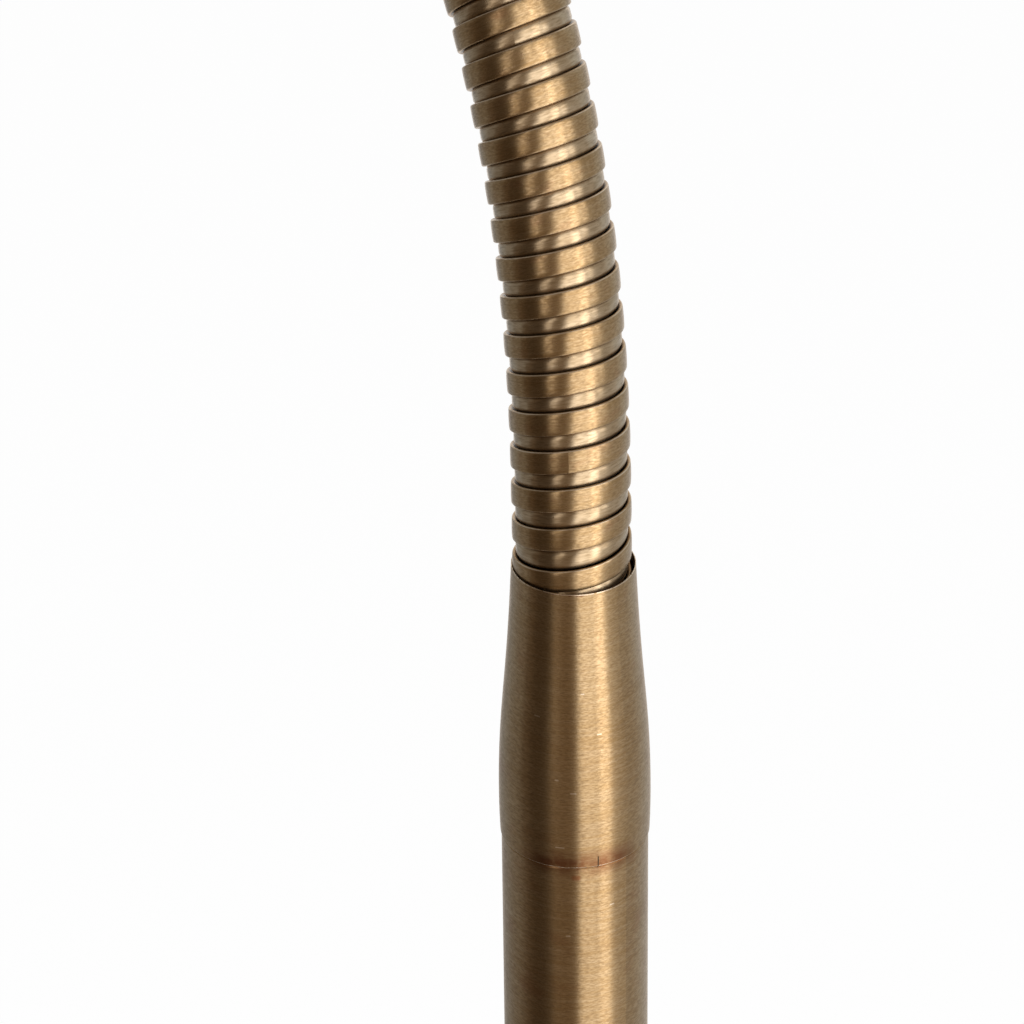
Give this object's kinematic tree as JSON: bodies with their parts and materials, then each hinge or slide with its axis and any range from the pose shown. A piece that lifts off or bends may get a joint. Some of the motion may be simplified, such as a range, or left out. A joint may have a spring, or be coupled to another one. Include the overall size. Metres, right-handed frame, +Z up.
{
  "type": "gooseneck reading floor lamp",
  "caption": "Floor lamp with a weighted round base, a sectional pole, a tapered collar and a wound flexible neck that carries a small bell-shaped spot head with a rotary dimmer.",
  "frame": {"origin": "centre of the round base's underside, where the pad meets the floor", "axes": "+Z up along the pole, and the neck arches from the pole towards -X"},
  "size_m": [0.5206, 0.25, 1.2822],
  "materials": {
    "brushed_bronze": "brushed bronze plating on steel, brushing round the circumference",
    "bronze_band": "bronze plated steel band, satin",
    "bronze_wire": "bronze plated round wire, smooth and a little paler",
    "plated_steel": "zinc plated",
    "turned_brass": "turned",
    "cast_iron": "as cast, painted",
    "foot_rubber": "matt",
    "black_plastic": "satin moulded",
    "lead_sheath": "soft sheath",
    "sink_aluminium": "bronze anodised aluminium",
    "white_board": "white coated circuit board",
    "bright_reflector": "bright anodised",
    "frosted_lens": "frosted diffuser"
  },
  "bodies": {
    "stand": {"base_cover": "brushed_bronze", "base_weight": "cast_iron", "base_pad": "foot_rubber", "base_washer": "plated_steel", "base_nut": "plated_steel", "base_nipple": "plated_steel", "cable_gland": "black_plastic", "pole_foot": "brushed_bronze", "pole_plug": "plated_steel", "pole_lower": "brushed_bronze", "coupler_lower": "plated_steel", "pole_middle": "brushed_bronze", "coupler_upper": "plated_steel", "pole_upper": "brushed_bronze", "collar_plug": "plated_steel", "collar_nut": "plated_steel", "neck_bush": "turned_brass", "neck_collar": "brushed_bronze", "inner_lead": "lead_sheath", "inner_winding_00": "bronze_wire", "outer_winding_00": "bronze_band"},
    "neck_01": {"inner_winding_01": "bronze_wire", "outer_winding_01": "bronze_band"},
    "neck_02": {"inner_winding_02": "bronze_wire", "outer_winding_02": "bronze_band"},
    "neck_03": {"inner_winding_03": "bronze_wire", "outer_winding_03": "bronze_band"},
    "neck_04": {"inner_winding_04": "bronze_wire", "outer_winding_04": "bronze_band"},
    "neck_05": {"inner_winding_05": "bronze_wire", "outer_winding_05": "bronze_band"},
    "neck_06": {"inner_winding_06": "bronze_wire", "outer_winding_06": "bronze_band"},
    "neck_07": {"inner_winding_07": "bronze_wire", "outer_winding_07": "bronze_band"},
    "neck_08": {"inner_winding_08": "bronze_wire", "outer_winding_08": "bronze_band"},
    "neck_09": {"inner_winding_09": "bronze_wire", "outer_winding_09": "bronze_band"},
    "neck_10": {"inner_winding_10": "bronze_wire", "outer_winding_10": "bronze_band"},
    "neck_11": {"inner_winding_11": "bronze_wire", "outer_winding_11": "bronze_band"},
    "neck_12": {"inner_winding_12": "bronze_wire", "outer_winding_12": "bronze_band"},
    "head": {"inner_winding_13": "bronze_wire", "outer_winding_13": "bronze_band", "head_ferrule": "brushed_bronze", "head_bush": "turned_brass", "head_nut": "plated_steel", "heat_sink": "sink_aluminium", "head_housing": "brushed_bronze", "led_board": "white_board", "head_screws": "plated_steel", "reflector": "bright_reflector", "lens": "frosted_lens", "bezel_ring": "brushed_bronze", "dimmer_pot": "black_plastic"},
    "knob": {"dimmer_knob": "brushed_bronze"}
  },
  "joints": [
    {"name": "bend_01", "type": "hinge", "parent": "stand", "child": "neck_01", "pos_m": [-0.0003, -0.00008, 1.10678], "axis": [-0.0015, -0.9988, 0.0499], "range_deg": [-16, 8], "deforming": ["outer_winding_00", "inner_lead", "outer_winding_01"]},
    {"name": "swing_02", "type": "hinge", "parent": "neck_01", "child": "neck_02", "pos_m": [-0.00583, 0.00399, 1.1398], "axis": [-0.9736, -0.0206, -0.2272], "range_deg": [-10, 10], "deforming": ["outer_winding_02"]},
    {"name": "bend_03", "type": "hinge", "parent": "neck_02", "child": "neck_03", "pos_m": [-0.01594, 0.00815, 1.1717], "axis": [-0.0083, -0.992, 0.1259], "range_deg": [-16, 10], "deforming": ["outer_winding_03"]},
    {"name": "swing_04", "type": "hinge", "parent": "neck_03", "child": "neck_04", "pos_m": [-0.03157, 0.01201, 1.20131], "axis": [-0.8339, -0.0625, -0.5483], "range_deg": [-10, 10], "deforming": ["outer_winding_04"]},
    {"name": "bend_05", "type": "hinge", "parent": "neck_04", "child": "neck_05", "pos_m": [-0.05302, 0.01534, 1.22708], "axis": [-0.0057, -0.9925, 0.1222], "range_deg": [-16, 10], "deforming": ["outer_winding_05"]},
    {"name": "swing_06", "type": "hinge", "parent": "neck_05", "child": "neck_06", "pos_m": [-0.07943, 0.01801, 1.24783], "axis": [-0.5348, -0.1, -0.839], "range_deg": [-10, 10], "deforming": ["outer_winding_06"]},
    {"name": "bend_07", "type": "hinge", "parent": "neck_06", "child": "neck_07", "pos_m": [-0.10964, 0.01988, 1.26263], "axis": [-0.0013, -0.9928, 0.1195], "range_deg": [-16, 10], "deforming": ["outer_winding_07"]},
    {"name": "swing_08", "type": "hinge", "parent": "neck_07", "child": "neck_08", "pos_m": [-0.14231, 0.02086, 1.27084], "axis": [-0.1419, -0.1178, -0.9829], "range_deg": [-10, 10], "deforming": ["outer_winding_08"]},
    {"name": "bend_09", "type": "hinge", "parent": "neck_08", "child": "neck_09", "pos_m": [-0.17598, 0.02091, 1.27209], "axis": [0.0045, -0.9929, 0.1187], "range_deg": [-16, 10], "deforming": ["outer_winding_09"]},
    {"name": "swing_10", "type": "hinge", "parent": "neck_09", "child": "neck_10", "pos_m": [-0.20916, 0.02001, 1.26631], "axis": [0.2759, -0.1125, -0.9546], "range_deg": [-10, 10], "deforming": ["outer_winding_10"]},
    {"name": "bend_11", "type": "hinge", "parent": "neck_10", "child": "neck_11", "pos_m": [-0.24039, 0.01821, 1.25378], "axis": [0.0108, -0.9927, 0.1204], "range_deg": [-16, 10], "deforming": ["outer_winding_11"]},
    {"name": "swing_12", "type": "hinge", "parent": "neck_11", "child": "neck_12", "pos_m": [-0.26827, 0.01558, 1.23505], "axis": [0.6453, -0.0847, -0.7592], "range_deg": [-10, 10], "deforming": ["outer_winding_12"]},
    {"name": "bend_13", "type": "hinge", "parent": "neck_12", "child": "head", "pos_m": [-0.29158, 0.01222, 1.21094], "axis": [0.0162, -0.992, 0.125], "range_deg": [-16, 10], "deforming": ["outer_winding_13"]},
    {"name": "dimmer_turn", "type": "hinge", "parent": "head", "child": "knob", "pos_m": [-0.37705, -0.00458, 1.15036], "axis": [-0.7974, -0.1571, 0.5827], "range_deg": [0, 280]}
  ]
}
